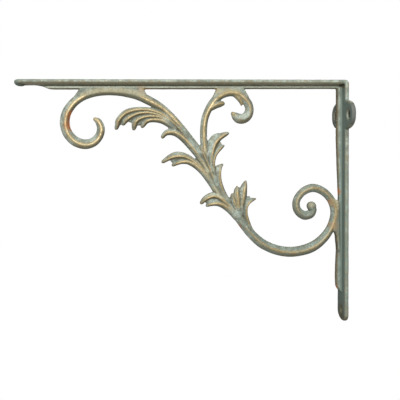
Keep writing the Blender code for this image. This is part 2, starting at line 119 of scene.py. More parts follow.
SPIRAL_EYE = (-28.1, -75.6)
SPIRAL_EYE_RADIUS = 3.9
BRANCH = [
    (-108.5, -50.0, 2.5), (-111.6, -41.5, 2.7), (-114.0, -33.0, 2.75), (-115.3, -24.0, 2.75),
    (-115.6, -14.0, 2.75), (-114.7, -5.0, 2.75), (-112.2, 2.4, 2.8), (-108.4, 9.0, 3.0),
    (-103.4, 14.0, 3.1), (-97.8, 16.9, 3.2),
    (-92.5, 17.6, 3.2), (-87.5, 16.2, 3.3), (-83.0, 12.8, 3.4), (-79.6, 8.5, 3.4),
    (-78.4, 3.5, 3.4), (-79.8, -1.2, 3.7), (-83.2, -3.9, 3.9), (-87.2, -3.7, 3.9), (-90.4, -1.3, 2.9),
    (-91.9, 0.2, 1.5),
]
THORNS = {
    "thorn_outer": [(-109.5, 5.0, 2.5), (-105.4, 7.4, 2.9), (-101.8, 8.2, 2.5), (-100.3, 8.5, 1.9)],
    "thorn_inner": [(-89.6, 14.8, 1.6), (-86.6, 12.2, 1.9), (-85.0, 9.2, 1.3), (-84.8, 7.6, 0.9)],
}

# %% [markdown]
# Each finger of an acanthus leaf is carved as a scoop: a broad lit slope climbs to a crest, and a short
# steep slope falls away behind it. So a finger's stations hold four numbers: the crest's x and z, and how
# far the lit slope and the steep slope reach from it. They run from the curled tip back to the stem that
# the finger sinks into.

# %% Stations of the leaves
LEFT_LEAVES = {
    "upper_1": [
        (-186.1, -11.3, 1.4, 1.3), (-185.2, -9.0, 1.9, 1.5), (-184.6, -6.3, 2.5, 1.6),
        (-182.0, -2.7, 2.7, 1.7), (-178.3, 0.4, 2.8, 1.7), (-173.0, 2.4, 2.6, 1.7), (-166.0, 3.4, 2.1, 1.5),
        (-158.0, 2.7, 2.0, 1.4), (-150.0, -0.1, 1.9, 1.3), (-143.0, -4.8, 1.7, 1.3),
        (-136.5, -11.0, 1.5, 1.1), (-131.0, -17.2, 1.3, 1.0), (-126.0, -23.6, 1.2, 0.9),
        (-121.5, -30.0, 1.0, 0.8), (-117.5, -36.5, 0.8, 0.7),
    ],
    "upper_2": [
        (-180.4, -8.2, 1.3, 1.1), (-178.8, -6.2, 2.5, 1.3), (-176.0, -3.6, 3.0, 1.4),
        (-172.0, -1.3, 2.6, 1.4), (-167.0, 0.3, 2.0, 1.3), (-160.0, 0.7, 1.6, 1.2),
        (-152.0, -1.2, 1.5, 1.2), (-144.0, -5.7, 1.4, 1.2), (-137.5, -12.0, 1.2, 1.1),
    ],
    "upper_3": [
        (-172.0, -11.8, 1.4, 1.3), (-171.3, -9.6, 2.3, 1.6), (-170.3, -6.7, 3.0, 1.8),
        (-167.5, -4.4, 2.7, 1.5), (-163.0, -2.7, 2.0, 1.3), (-157.0, -2.1, 1.6, 1.2),
        (-150.0, -3.4, 1.4, 1.2), (-143.5, -7.5, 1.3, 1.2), (-138.0, -12.6, 1.2, 1.1),
    ],
    "upper_4": [
        (-165.0, -10.2, 1.2, 1.1), (-163.6, -8.5, 2.1, 1.3), (-161.8, -6.3, 2.3, 1.6),
        (-158.5, -5.0, 1.8, 1.9), (-154.0, -4.7, 1.5, 2.3), (-149.0, -5.6, 1.4, 2.6),
        (-143.5, -8.7, 1.4, 2.5), (-138.5, -13.0, 1.4, 2.2),
    ],
    "upper_5": [
        (-148.6, -18.7, 1.3, 1.2), (-147.1, -16.8, 1.8, 1.5), (-144.5, -15.3, 2.4, 2.1),
        (-140.5, -14.9, 2.5, 2.8), (-136.5, -16.2, 2.3, 3.1), (-131.5, -19.9, 2.2, 3.3),
        (-126.0, -25.8, 2.1, 3.3), (-121.0, -32.0, 2.0, 3.1), (-117.0, -38.0, 1.8, 2.7),
        (-113.4, -44.5, 1.5, 2.2), (-110.0, -51.0, 1.2, 1.6),
    ],
    "middle_1": [
        (-148.3, -39.2, 1.2, 1.1), (-145.8, -37.9, 1.9, 1.2), (-142.0, -36.1, 3.1, 1.4),
        (-137.5, -34.9, 3.7, 1.3), (-132.5, -34.9, 3.2, 1.3), (-127.5, -36.6, 2.6, 1.3),
        (-122.5, -39.7, 2.0, 1.3), (-117.5, -44.0, 1.7, 1.3), (-112.8, -49.6, 1.5, 1.3),
        (-109.0, -56.0, 1.4, 1.3), (-105.8, -62.5, 1.2, 1.2), (-102.0, -69.0, 1.0, 1.0),
    ],
    "middle_2": [
        (-140.1, -42.0, 1.1, 0.9), (-137.5, -40.9, 2.4, 1.1), (-133.5, -39.5, 2.8, 1.6),
        (-129.0, -39.1, 2.4, 2.1), (-125.0, -40.4, 2.0, 2.5), (-120.0, -43.8, 1.8, 2.6),
        (-115.0, -49.0, 1.6, 2.5), (-110.5, -55.5, 1.5, 2.3), (-106.5, -62.0, 1.5, 2.2),
    ],
    "lower_1": [
        (-117.0, -72.6, 1.2, 1.2), (-114.6, -70.4, 2.1, 1.3), (-111.5, -68.5, 2.8, 1.4),
        (-107.5, -67.4, 3.0, 1.4), (-103.5, -68.3, 2.6, 1.4), (-99.5, -71.0, 2.2, 1.4),
        (-95.0, -75.0, 1.8, 1.4), (-90.0, -80.2, 1.4, 1.2), (-85.5, -85.8, 1.1, 1.0),
    ],
    "nerve_fork": [
        (-117.8, -26.6, 0.7, 0.7), (-116.4, -31.0, 1.0, 0.9), (-114.2, -36.3, 1.1, 0.9),
        (-111.8, -42.0, 1.1, 0.9), (-109.2, -48.5, 1.1, 0.9), (-106.5, -54.5, 1.0, 0.9),
        (-103.5, -60.5, 0.9, 0.8),
    ],
    "lower_2": [
        (-112.5, -75.1, 1.1, 0.9), (-109.8, -73.9, 2.0, 1.6), (-105.0, -73.0, 2.0, 2.5),
        (-100.5, -73.8, 1.8, 3.1), (-96.0, -76.6, 1.8, 3.2), (-92.0, -80.6, 1.8, 3.1),
        (-88.0, -85.2, 1.8, 3.0),
    ],
}
RIGHT_LEAVES = {
    "inner_1": [
        (-96.2, -16.1, 1.1, 1.0), (-98.8, -17.5, 2.2, 1.5), (-102.0, -19.6, 3.6, 1.9),
        (-104.6, -22.3, 4.6, 1.8), (-106.6, -26.0, 4.6, 1.4), (-108.0, -31.0, 3.6, 1.3),
        (-109.0, -37.0, 2.4, 1.2), (-109.3, -43.5, 1.8, 1.2), (-108.3, -50.0, 1.5, 1.2),
    ],
    "inner_2": [
        (-99.5, -26.2, 0.7, 0.7), (-101.2, -27.9, 2.2, 1.0), (-103.8, -30.8, 2.4, 1.0),
        (-105.9, -34.2, 2.0, 0.9), (-107.0, -38.0, 1.6, 0.9), (-107.3, -43.0, 1.4, 0.9),
        (-106.6, -49.0, 1.3, 0.9), (-105.0, -55.0, 1.3, 1.0),
    ],
    "inner_3": [
        (-100.2, -41.5, 0.6, 0.5), (-101.5, -44.2, 3.2, 0.6), (-102.3, -48.5, 3.3, 0.9),
        (-102.2, -54.0, 2.8, 1.2), (-100.8, -60.0, 2.4, 1.5), (-98.4, -66.0, 2.2, 1.7),
        (-95.0, -71.5, 2.0, 1.7),
    ],
    "cup_1": [
        (-92.1, -66.2, 1.1, 0.7), (-91.6, -69.0, 2.0, 0.9), (-90.3, -73.0, 2.0, 0.9),
        (-88.8, -78.0, 1.8, 0.9), (-87.0, -83.0, 1.6, 0.9),
    ],
    "cup_2": [
        (-88.3, -59.9, 0.6, 0.6), (-88.4, -62.5, 2.0, 1.5), (-88.3, -66.5, 2.5, 2.0),
        (-87.8, -71.5, 2.3, 1.8), (-86.9, -77.0, 2.0, 1.4), (-85.5, -83.0, 1.7, 1.3),
    ],
    "cup_3": [
        (-81.4, -55.4, 0.6, 0.6), (-81.9, -58.5, 2.4, 1.5), (-82.7, -62.5, 3.4, 2.4),
        (-83.4, -66.5, 3.0, 2.9), (-84.0, -71.0, 2.3, 2.4), (-84.5, -76.0, 1.9, 1.6),
        (-84.0, -82.0, 1.7, 1.4),
    ],
    "cup_4": [
        (-73.9, -69.7, 0.6, 0.6), (-76.2, -70.7, 1.7, 1.0), (-78.7, -72.8, 2.9, 1.0),
        (-80.3, -75.8, 2.9, 0.8), (-80.8, -79.5, 2.5, 0.8), (-80.4, -84.0, 2.3, 0.9),
        (-79.0, -89.0, 2.2, 1.1), (-76.5, -94.5, 1.7, 0.9), (-72.5, -99.5, 1.0, 0.6),
    ],
}
FLESH = {
    "flesh_upper_12": [(-183.1, -8.3, 0.8), (-180.6, -3.9, 1.6), (-175.0, -0.2, 1.8), (-166.0, 1.3, 1.6)],
    "flesh_upper_23": [(-175.2, -5.9, 1.2), (-172.0, -3.6, 1.8), (-166.0, -2.2, 1.9), (-158.0, -2.2, 1.6)],
    "flesh_upper_34": [(-167.9, -8.3, 1.3), (-164.6, -5.3, 1.8), (-159.5, -4.4, 1.8), (-152.0, -5.0, 1.6)],
    "flesh_upper_45": [(-143.0, -11.6, 1.0), (-139.5, -13.2, 1.6), (-134.5, -16.4, 1.8)],
    "flesh_middle": [(-140.6, -38.2, 1.6), (-136.2, -37.0, 2.2), (-130.0, -36.9, 2.2), (-123.0, -41.0, 2.0)],
    "flesh_lower": [(-112.7, -71.6, 1.5), (-108.6, -70.6, 2.1), (-103.5, -71.2, 2.2), (-98.5, -75.0, 2.0)],
    "flesh_inner_1": [(-104.0, -17.6, 1.8), (-107.2, -20.4, 2.8), (-109.9, -26.0, 3.0), (-111.6, -34.0, 2.4)],
    "flesh_inner_2": [(-102.2, -24.6, 1.2), (-105.2, -26.8, 1.8), (-107.5, -31.0, 1.8), (-109.0, -37.0, 1.6)],
    "flesh_scoop": [(-103.9, -43.6, 1.6), (-105.4, -48.0, 2.0), (-105.0, -55.0, 2.0)],
    "flesh_cup_1": [(-90.6, -65.6, 0.7), (-90.4, -69.0, 1.3), (-89.6, -75.0, 1.5), (-87.5, -81.0, 1.5)],
    "flesh_cup_2": [(-85.9, -60.9, 0.8), (-86.0, -65.0, 1.6), (-86.0, -71.0, 1.8), (-85.6, -78.0, 1.8)],
    "flesh_cup_3": [(-78.9, -68.4, 1.1), (-80.8, -70.6, 2.2), (-82.6, -74.5, 2.2), (-83.4, -80.0, 2.0)],
}
WEBS = {
    "web_curl": [(-230.9, -1.0), (-227.1, 5.2), (-222.3, 11.6), (-215.8, 20.8), (-205.0, 21.5),
                 (-212.0, 15.0), (-222.0, 7.5), (-227.5, -1.0)],
    "web_arch": [(-217.0, 12.5), (-213.0, 21.5), (-163.5, 21.5), (-163.2, 18.6), (-161.0, 14.5),
                 (-168.0, 14.5), (-190.0, 17.5)],
    "web_small": [(-104.9, 21.5), (-107.1, 16.3), (-109.0, 12.6), (-102.0, 12.5), (-95.0, 16.5),
                  (-86.0, 15.0), (-80.6, 12.0), (-79.0, 14.0), (-82.6, 20.0), (-82.6, 21.5)],
    "web_leg": [(-11.5, -68.5), (-6.2, -71.5), (-5.6, -112.0), (-7.6, -112.0), (-8.2, -105.0), (-8.6, -100.0),
                (-9.4, -97.4), (-10.6, -95.8), (-12.0, -92.0), (-10.0, -82.0)],
}

# %% [markdown]
# ## Tools of the trade
# A rod is swept as a pattern maker would carve it: a cross-section is drawn once, then pulled along the
# line and made thicker or thinner at each station.

# %% Helpers for curves
RELAXED_AWAY = 0.18
FULL_HEIGHT = 4.0


def settled(x, z):
    """A point of the scroll's flat view, at its true place in the frame."""
    return (x * SCROLL_STRETCH - z * SCROLL_TURN + SCROLL_SHIFT[0],
            z * SCROLL_TALLNESS + x * SCROLL_TURN + SCROLL_SHIFT[1])


def smooth_line(stations, spacing=0.8):
    """Points about spacing apart on a smooth line through the stations, with the widths that they carry."""
    fixed = np.array([(*settled(x, z), *widths) for x, z, *widths in stations])
    ends = np.vstack([fixed[:1], fixed, fixed[-1:]])
    path = []
    for a, b, c, d in zip(ends, ends[1:], ends[2:], ends[3:]):
        count = max(2, int(math.hypot(*(c - b)[:2]) / spacing))
        for t in np.arange(count) / count:
            path.append(0.5 * (2 * b + (c - a) * t + (2 * a - 5 * b + 4 * c - d) * t**2
                               + (3 * b - a - 3 * c + d) * t**3))
    path.append(fixed[-1])
    return path


def rounded_off(path):
    """The path with a round nose added at each end."""
    def nose(end, inner):
        along = (end - inner)[:2] / math.hypot(*(end - inner)[:2])
        steps = [(0.35, 0.93), (0.65, 0.76), (0.88, 0.48), (0.98, 0.2)]
        return [np.array([*(end[:2] + along * end[2] * out), end[2] * size]) for out, size in steps]
    return nose(path[0], path[1])[::-1] + path + nose(path[-1], path[-2])


def section(name, points):
    """A closed cross-section for sweeping, drawn one millimetre in half width."""
    bpy.ops.curve.primitive_bezier_circle_add(radius=1.0)
    obj = bpy.context.object
    obj.name = name
    curve = obj.data
    curve.splines.clear()
    spline = curve.splines.new("POLY")
    spline.points.add(len(points) - 1)
    for point, (u, v) in zip(spline.points, points):
        point.co = (u * MM, v * MM, 0.0, 1.0)
    spline.use_cyclic_u = True
    return obj


def swept(name, stations, profile, lean=(0.0, 0.0)):
    """A rod: the profile pulled along a smooth line that lies in the bracket's middle plane.

    The lean moves the crest of both faces sideways, in (x, z), and leaves the rod's outline where it is.
    """
    path = rounded_off([np.array([x, z, half + RELAXED_AWAY]) for x, z, half in smooth_line(stations)])
    bpy.ops.curve.primitive_bezier_curve_add()
    obj = bpy.context.object
    obj.name = name
    curve = obj.data
    curve.splines.clear()
    spline = curve.splines.new("POLY")
    spline.points.add(len(path) - 1)
    for point, (x, z, half) in zip(spline.points, path):
        point.co = (x * MM, z * MM, 0.0, 1.0)
        point.radius = half
    curve.twist_mode = "Z_UP"
    curve.bevel_mode = "OBJECT"
    curve.bevel_object = profile
    curve.use_fill_caps = True
    obj.rotation_euler = (math.radians(90), 0, 0)
    bpy.ops.object.convert(target="MESH")
    bpy.ops.object.transform_apply(location=True, rotation=True, scale=True)
    for vertex in obj.data.vertices:
        height = min(1.0, abs(vertex.co.y) / (FULL_HEIGHT * MM))
        vertex.co.x += lean[0] * MM * height**2
        vertex.co.z += lean[1] * MM * height**2
    return obj


def plate(name, outlines, thickness, turn, move, edge=0.0):
    """A flat plate: outlines drawn on the floor, filled, thickened, and turned and moved into place."""
    bpy.ops.curve.primitive_bezier_circle_add(radius=1.0)
    obj = bpy.context.object
    obj.name = name
    curve = obj.data
    curve.splines.clear()
    for outline in outlines:
        spline = curve.splines.new("POLY")
        spline.points.add(len(outline) - 1)
        for point, (u, v) in zip(spline.points, outline):
            point.co = (u * MM, v * MM, 0.0, 1.0)
        spline.use_cyclic_u = True
    curve.dimensions = "2D"
    curve.fill_mode = "BOTH"
    curve.extrude = (thickness / 2 - edge) * MM
    curve.bevel_depth = edge * MM
    curve.offset = -edge * MM
    obj.rotation_euler = [math.radians(a) for a in turn]
    obj.location = [v * MM for v in move]
    bpy.ops.object.convert(target="MESH")
    bpy.ops.object.transform_apply(location=True, rotation=True, scale=True)
    return obj


def ring(centre, reach_u, reach_v, start, end, count):
    """Points of an ellipse from start to end, in degrees."""
    angles = [math.radians(start + (end - start) * i / count) for i in range(count + 1)]
    return [(centre[0] + reach_u * math.cos(a), centre[1] + reach_v * math.sin(a)) for a in angles]


def applied(obj, kind, **settings):
    """Adds a modifier, sets it and applies it."""
    bpy.context.view_layer.objects.active = obj
    bpy.ops.object.modifier_add(type=kind)
    modifier = obj.modifiers[-1]
    for key, value in settings.items():
        setattr(modifier, key, value)
    bpy.ops.object.modifier_apply(modifier=modifier.name)


UPRIGHT = (90, 0, 0)
AGAINST_WALL = (90, 0, 90)
FLAT = (0, 0, 0)
bpy.ops.object.select_all(action="DESELECT")
parts = []

# %% [markdown]
# ## The arm and the leg
# The two strips are drawn in plan with their round ends. The mould's edges are never sharp, so each plate
# gets a small round. The outer corner is a little block of its own with a 3 mm radius.

# %% Flat strips, ear plate and corner
STRIP_EDGE, EAR_EDGE, CORNER_EDGE = 1.45, 1.0, 1.2
CORNER_RUN = 3.0
CORNER_NARROWER = 0.2
half_width = FLANGE_WIDTH / 2
arm_end = ring((END_ROUNDING - ARM_LENGTH, 0.0), END_ROUNDING, half_width, 90, 270, 24)
arm_plan = [(-CORNER_RADIUS, -half_width), (-CORNER_RADIUS, half_width)] + arm_end
parts.append(plate("arm_strip", [arm_plan], FLANGE_THICK, FLAT, (0, 0, TOP - FLANGE_THICK / 2), STRIP_EDGE))

leg_end = ring((0.0, BOTTOM + END_ROUNDING), half_width, END_ROUNDING, 180, 360, 24)
leg_plan = [(half_width, TOP - CORNER_RADIUS), (-half_width, TOP - CORNER_RADIUS)] + leg_end
parts.append(plate("leg_strip", [leg_plan], FLANGE_THICK, AGAINST_WALL, (-FLANGE_THICK / 2, 0, 0), STRIP_EDGE))

ear_plan = [(math.copysign(abs(u) ** (2 / EAR_FULLNESS), u) * EAR_SPAN / 2,
             math.copysign(abs(v) ** (2 / EAR_FULLNESS), v) * EAR_HEIGHT / 2)
            for u, v in ring((0.0, 0.0), 1.0, 1.0, 2, 358, 89)]
parts.append(plate("ear_plate", [ear_plan], EAR_THICK, AGAINST_WALL, (-EAR_THICK / 2, 0, 0), EAR_EDGE))

corner_curve = ring((-CORNER_RADIUS, TOP - CORNER_RADIUS), CORNER_RADIUS, CORNER_RADIUS, 90, 0, 8)
inner = CORNER_RADIUS + CORNER_RUN
corner_outline = [(-inner, TOP)] + corner_curve + [
    (0.0, TOP - inner), (-FLANGE_THICK, TOP - inner), (-FLANGE_THICK, TOP - FLANGE_THICK),
    (-inner, TOP - FLANGE_THICK),
]
parts.append(plate("corner", [corner_outline], FLANGE_WIDTH - CORNER_NARROWER, UPRIGHT, (0, 0, 0), CORNER_EDGE))

# %% [markdown]
# The arm's tip is a little thicker underneath than the rest of the strip. A flattened ball, half sunk in
# the strip, gives that soft swelling once everything is fused.

# %% Swelling under the arm's tip
SWELL_REACH = (4.3, 7.6, 2.3)
SWELL_INSET, SWELL_DROP = 4.5, 2.6
bpy.ops.mesh.primitive_uv_sphere_add(segments=32, ring_count=16, radius=MM,
                                     location=((SWELL_INSET - ARM_LENGTH) * MM, 0, (TOP - SWELL_DROP) * MM))
swelling = bpy.context.object
swelling.name = "arm_swelling"
swelling.scale = SWELL_REACH
bpy.ops.object.transform_apply(location=True, rotation=True, scale=True)
parts.append(swelling)
print("strips:", [p.name for p in parts])

# %% [markdown]
# A rib runs under the arm and down the leg, and makes each strip a T in section. It is shallowest beside
# the lower spiral and fades out before each end, where a screw goes through. The webs are the thin flesh
# that ties the scroll to the two strips. Both are flat plates, drawn as outlines and thickened.

# %% Rib
RIB_BURIED = 1.2
RIB_EDGE = 1.9
WEB_THICK, WEB_EDGE = 6.8, 1.2
under = TOP - FLANGE_THICK
tip = ARM_TONGUE - ARM_LENGTH
foot = BOTTOM + LEG_TONGUE
leg_side = [(-FLANGE_THICK - depth, z) for depth, z in LEG_RIB]
leg_fade = [(-FLANGE_THICK - share * LEG_RIB[0][0], foot + way * RIB_RAMP)
            for way, share in ((0.0, 0.0), (0.25, 0.30), (0.6, 0.70), (1.0, 0.93))]
arm_fade = [(tip + way * RIB_RAMP, under - share * RIB_DEPTH_TIP)
            for way, share in ((1.9, 1.0), (1.1, 0.95), (0.6, 0.78), (0.25, 0.55), (0.0, 0.42),
                               (-0.8, 0.24), (-1.8, 0.0))]
rib_outline = [(arm_fade[-1][0], TOP - RIB_BURIED), (-RIB_BURIED, TOP - RIB_BURIED), (-RIB_BURIED, foot),
               *leg_fade, *leg_side, (leg_side[-1][0], under - RIB_DEPTH_CORNER), *arm_fade]
parts.append(plate("rib", [rib_outline], RIB_WIDTH, UPRIGHT, (0, 0, 0), RIB_EDGE))
for name, outline in WEBS.items():
    parts.append(plate(name, [[settled(x, z) for x, z in outline]], WEB_THICK, UPRIGHT, (0, 0, 0), WEB_EDGE))
print("rib and webs:", len(parts), "pieces so far")

# %% [markdown]
# ## The scrollwork
# The rods have a ridge down the middle of each face, which catches the light and later the bronze. The
# fingers of the leaves are narrow and steep, and the flesh between them is low.

# %% Cross-sections
def ridge_points(height, crest):
    """A closed ridged section: crest says how far the flat of the ridge reaches, height how high it stands."""
    quarter = [(1.0, 0.0), (0.95, 0.22), (0.80, 0.48), (0.52, 0.74), (0.24, 0.92), (crest, 0.99), (0.0, 1.0)]
    top_side = quarter + [(-u, v) for u, v in quarter[-2::-1]]
    under_side = [(-u, -v) for u, v in top_side[1:-1]]
    return [(u, v * height) for u, v in top_side + under_side]


rod_section = section("rod_section", ridge_points(1.02, 0.10))
stem_section = section("stem_section", ridge_points(0.74, 0.45))
flesh_section = section("flesh_section", ridge_points(1.10, 0.30))
thorn_section = section("thorn_section", ridge_points(1.3, 0.12))

# %% [markdown]
# A leaf finger is a grid, as if a strip of wax were pressed on the model. Each row of the grid is pulled up
# into the scooped section, and the mirror gives the bracket's other face. The last few rows shrink to a
# blunt nose.

# %% A scooped finger
LEAF_HEIGHT = 4.2
SCOOP = [(-1.0, 0.0), (-0.97, 0.42), (-0.84, 0.62), (-0.62, 0.73), (-0.40, 0.84), (-0.20, 0.95), (-0.07, 0.99),
         (0.0, 1.0), (0.14, 0.98), (0.36, 0.88), (0.62, 0.66), (0.84, 0.34), (0.95, 0.14), (1.0, 0.0)]
FINGER_NOSE = [(0.40, 0.88, 0.90), (0.80, 0.66, 0.70), (1.05, 0.38, 0.40), (1.15, 0.10, 0.0)]


def finger(name, stations, lit_side, height):
    """A leaf finger: lit_side is 1 where the lit slope lies to the left of the way from the tip to the stem."""
    line = [np.array([x, z, lit + RELAXED_AWAY, steep + RELAXED_AWAY])
            for x, z, lit, steep in smooth_line(stations)]
    along = np.gradient(np.array([p[:2] for p in line]), axis=0)
    along /= np.linalg.norm(along, axis=1)[:, None]
    travelled = np.cumsum([0.0] + [math.hypot(*(b - a)[:2]) for a, b in zip(line, line[1:])])
    for point, far in zip(line, travelled):
        point[2:] *= 1.0 + 0.18 * max(0.0, 1.0 - far / 6.0)
    rise = height * np.clip(0.56 + 0.44 * np.sqrt(travelled / 6.0), 0.0, 1.0)
    rise *= np.clip(0.72 + 0.28 * (travelled[-1] - travelled) / 9.0, 0.0, 1.0)
    rings = [(p[:2], t, p[2], p[3], h) for p, t, h in zip(line, along, rise)]
    for end, sign in ((0, -1), (-1, 1)):
        centre, t, lit, steep, h = rings[end]
        tips = [(centre + sign * t * steep * out, t, lit * size, steep * size, h * tall)
                for out, size, tall in FINGER_NOSE]
        rings = tips[::-1] + rings if end == 0 else rings + tips
    bpy.ops.mesh.primitive_grid_add(x_subdivisions=len(rings) - 1, y_subdivisions=len(SCOOP) - 1, size=2.0)
    obj = bpy.context.object
    obj.name = name
    for vertex in obj.data.vertices:
        centre, t, lit, steep, h = rings[round((vertex.co.x + 1) / 2 * (len(rings) - 1))]
        u, v = SCOOP[round((vertex.co.y + 1) / 2 * (len(SCOOP) - 1))]
        reach = -lit_side * u * (lit if u < 0 else steep)
        vertex.co = ((centre[0] - t[1] * reach) * MM, -v * h * MM, (centre[1] + t[0] * reach) * MM)
    applied(obj, "MIRROR", use_axis=(False, True, False), merge_threshold=0.002 * MM)
    bpy.ops.object.mode_set(mode="EDIT")
    bpy.ops.mesh.select_all(action="SELECT")
    bpy.ops.mesh.normals_make_consistent(inside=False)
    bpy.ops.object.mode_set(mode="OBJECT")
    return obj


# %% [markdown]
# On the real casting the rods' crests don't run in the middle of the face: the upper scroll's and the
# branch's lean to the right and down, as the carver's knife left them. A lean moves only the crest, so the
# outline stays.

# %% Rods, fingers, flesh and the spiral's eye
ridges = []
LEANS = {"upper_scroll": (1.15, -0.75), "lower_scroll": (0.35, 0.10),
         "branch": (0.65, -0.30), "stem": (0.0, 0.0)}
rods = [("upper_scroll", UPPER_SCROLL, rod_section), ("lower_scroll", LOWER_SCROLL, rod_section),
        ("branch", BRANCH, rod_section), ("stem", STEM, stem_section)]
for name, stations, profile in rods:
    ridges.append(swept(name, stations, profile, LEANS[name]))
for lit_side, leaves in ((1, LEFT_LEAVES), (-1, RIGHT_LEAVES)):
    for name, stations in leaves.items():
        ridges.append(finger(name, stations, lit_side, LEAF_HEIGHT))
for name, stations in THORNS.items():
    ridges.append(swept(name, stations, thorn_section))
for name, stations in FLESH.items():
    ridges.append(swept(name, stations, flesh_section))
parts += ridges
eye_x, eye_z = settled(*SPIRAL_EYE)
bpy.ops.mesh.primitive_uv_sphere_add(segments=24, ring_count=16, radius=SPIRAL_EYE_RADIUS * MM,
                                     location=(eye_x * MM, 0, eye_z * MM))
bpy.ops.object.transform_apply(location=True, rotation=True, scale=True)
parts.append(bpy.context.object)
print("scrollwork, mm deep:", [round(p.dimensions.y / MM, 1) for p in ridges[:4]])

# %% [markdown]
# ## Fuse the casting
# Molten iron leaves no seams. All pieces are joined and remade as one skin of half-millimetre cells, which
# is then relaxed a little, so that every inner corner gets the small fillet that a sand mould gives it.

# %% Join and remake as one skin
bpy.ops.object.select_all(action="DESELECT")
for obj in parts:
    obj.select_set(True)
bpy.context.view_layer.objects.active = parts[0]
bpy.ops.object.join()
casting = bpy.context.object
casting.name = "casting"
cell = 0.5 * MM
applied(casting, "REMESH", mode="VOXEL", voxel_size=cell, adaptivity=0.0)
print("skin:", len(casting.data.polygons), "faces")

# %% [markdown]
# The screw holes are drilled after casting. The wall holes and the end holes are countersunk, so a screw's
# head sits flush. One bit cuts the bore and the countersink together, with the exact solver, because two
# overlapping cutters and the fast solver can leave a thin skin across a hole.

# %% Drill the holes
DRILL_OVER = 0.6
DRILL_SHAFT = 7.0
DRILL_COLLAR = 2.0


def drill(centre, turn, radius, sink_radius):
    """Cuts a countersunk hole: the bit is a cone, its narrow end drawn out to a shaft, its wide end to a collar."""
    slope = (sink_radius - radius) / SINK_DEPTH
    bpy.ops.mesh.primitive_cone_add(vertices=40, radius1=radius * MM,
                                    radius2=(sink_radius + slope * DRILL_OVER) * MM,
                                    depth=(SINK_DEPTH + DRILL_OVER) * MM,
                                    location=(0, 0, (DRILL_OVER - SINK_DEPTH) / 2 * MM))
    bit = bpy.context.object
    bpy.ops.object.transform_apply(location=True, rotation=True, scale=True)
    for facing, reach in ((-1, DRILL_SHAFT), (1, DRILL_COLLAR)):
        bpy.ops.object.mode_set(mode="EDIT")
        bpy.ops.mesh.select_mode(type="FACE")
        bpy.ops.mesh.select_all(action="DESELECT")
        bpy.ops.object.mode_set(mode="OBJECT")
        for face in bit.data.polygons:
            face.select = facing * face.normal.z > 0.9
        bpy.ops.object.mode_set(mode="EDIT")
        bpy.ops.mesh.extrude_region_move(TRANSFORM_OT_translate={"value": (0, 0, facing * reach * MM)})
        bpy.ops.object.mode_set(mode="OBJECT")
    bit.rotation_euler = turn
    bit.location = [v * MM for v in centre]
    applied(casting, "BOOLEAN", operation="DIFFERENCE", solver="EXACT", object=bit)
    bpy.data.objects.remove(bit)


away_from_wall = (0, math.radians(-90), 0)
downwards = (math.radians(180), 0, 0)
for side in (-1, 1):
    drill((-EAR_THICK, side * EAR_HOLE_OFFSET, 0.0), away_from_wall, EAR_HOLE_RADIUS, EAR_SINK_RADIUS)
drill((-FLANGE_THICK, 0.0, BOTTOM + END_HOLE_INSET), away_from_wall, END_HOLE_RADIUS, END_SINK_RADIUS)
drill((END_HOLE_INSET - ARM_LENGTH, 0.0, TOP - FLANGE_THICK), downwards, END_HOLE_RADIUS, END_SINK_RADIUS)
print("after drilling:", len(casting.data.polygons), "faces")

# %% [markdown]
# A sand casting is never crisp. A little smoothing stands for the worn mould, a faint cloud pattern for the
# sand, and thinning out keeps the mesh light enough to share.

# %% Relax, roughen and thin out the skin
TRIANGLE_BUDGET = 190000
applied(casting, "SMOOTH", factor=0.5, iterations=3)
bpy.ops.object.select_all(action="DESELECT")
sand = bpy.data.textures.new("sand", "CLOUDS")
sand.noise_scale = 7 * MM
applied(casting, "DISPLACE", texture=sand, texture_coords="LOCAL", strength=0.22 * MM, mid_level=0.5)
triangles = sum(len(f.vertices) - 2 for f in casting.data.polygons)
if triangles > TRIANGLE_BUDGET:
    applied(casting, "DECIMATE", ratio=TRIANGLE_BUDGET / triangles)
casting.select_set(True)
bpy.context.view_layer.objects.active = casting
bpy.ops.object.shade_smooth()
print("casting:", sum(len(f.vertices) - 2 for f in casting.data.polygons), "triangles,",
      "mm:", [round(d / MM, 1) for d in casting.dimensions])

# %% [markdown]
# ## Where the finish wears
# The patina is brushed on first, then bronze is rubbed over the ridges with a nearly dry pad. So each point
# of the skin is marked with how near it is to a crest, and with how deep it lies in a hollow.

# %% Note where the bronze is rubbed
crests, bronze_share = [], []


def ramp(value, start, end):
    """Rises from nothing at start to one at end."""
    return min(1.0, max(0.0, (value - start) / (end - start)))


def share_on_upper_scroll(x, z, way):
    """How much bronze the upper scroll's crest carries: less on the arch, and none under the leaves."""
    on_arch = ramp(z, 8.0, 14.0) * ramp(x, -216.0, -211.0) * ramp(x, -160.0, -170.0)
    return 0.90 * (1.0 - 0.72 * on_arch) * ramp(x, -131.0, -139.0)


def share_on_lower_scroll(x, z, way):
    """The lower scroll's crest is rubbed from the cup of leaves to the spiral's last turn, which stays sage."""
    return 0.70 * ramp(way, 0.06, 0.16) * ramp(way, 0.95, 0.90)


def share_on_branch(x, z, way):
    """The branch's crest is rubbed as far as the small curl, whose last turn stays sage."""
    return 0.80 * ramp(way, 0.10, 0.20) * (1.0 - 0.8 * ramp(way, 0.78, 0.88) * ramp(way, 1.0, 0.97))


def mark_crest(stations, height_at, share_at, lean=(0.0, 0.0)):
    """Notes points along a ridge's top, on both faces of the bracket, and how much bronze each carries."""
    line = smooth_line(stations, 0.5)
    for step, (x, z, half, *_) in enumerate(line):
        height = height_at(half)
        leaning = min(1.0, height / FULL_HEIGHT) ** 2
        for side in (-1, 1):
            crests.append(((x + lean[0] * leaning) * MM, side * height * MM, (z + lean[1] * leaning) * MM))
            bronze_share.append(share_at(x, z, step / len(line)))


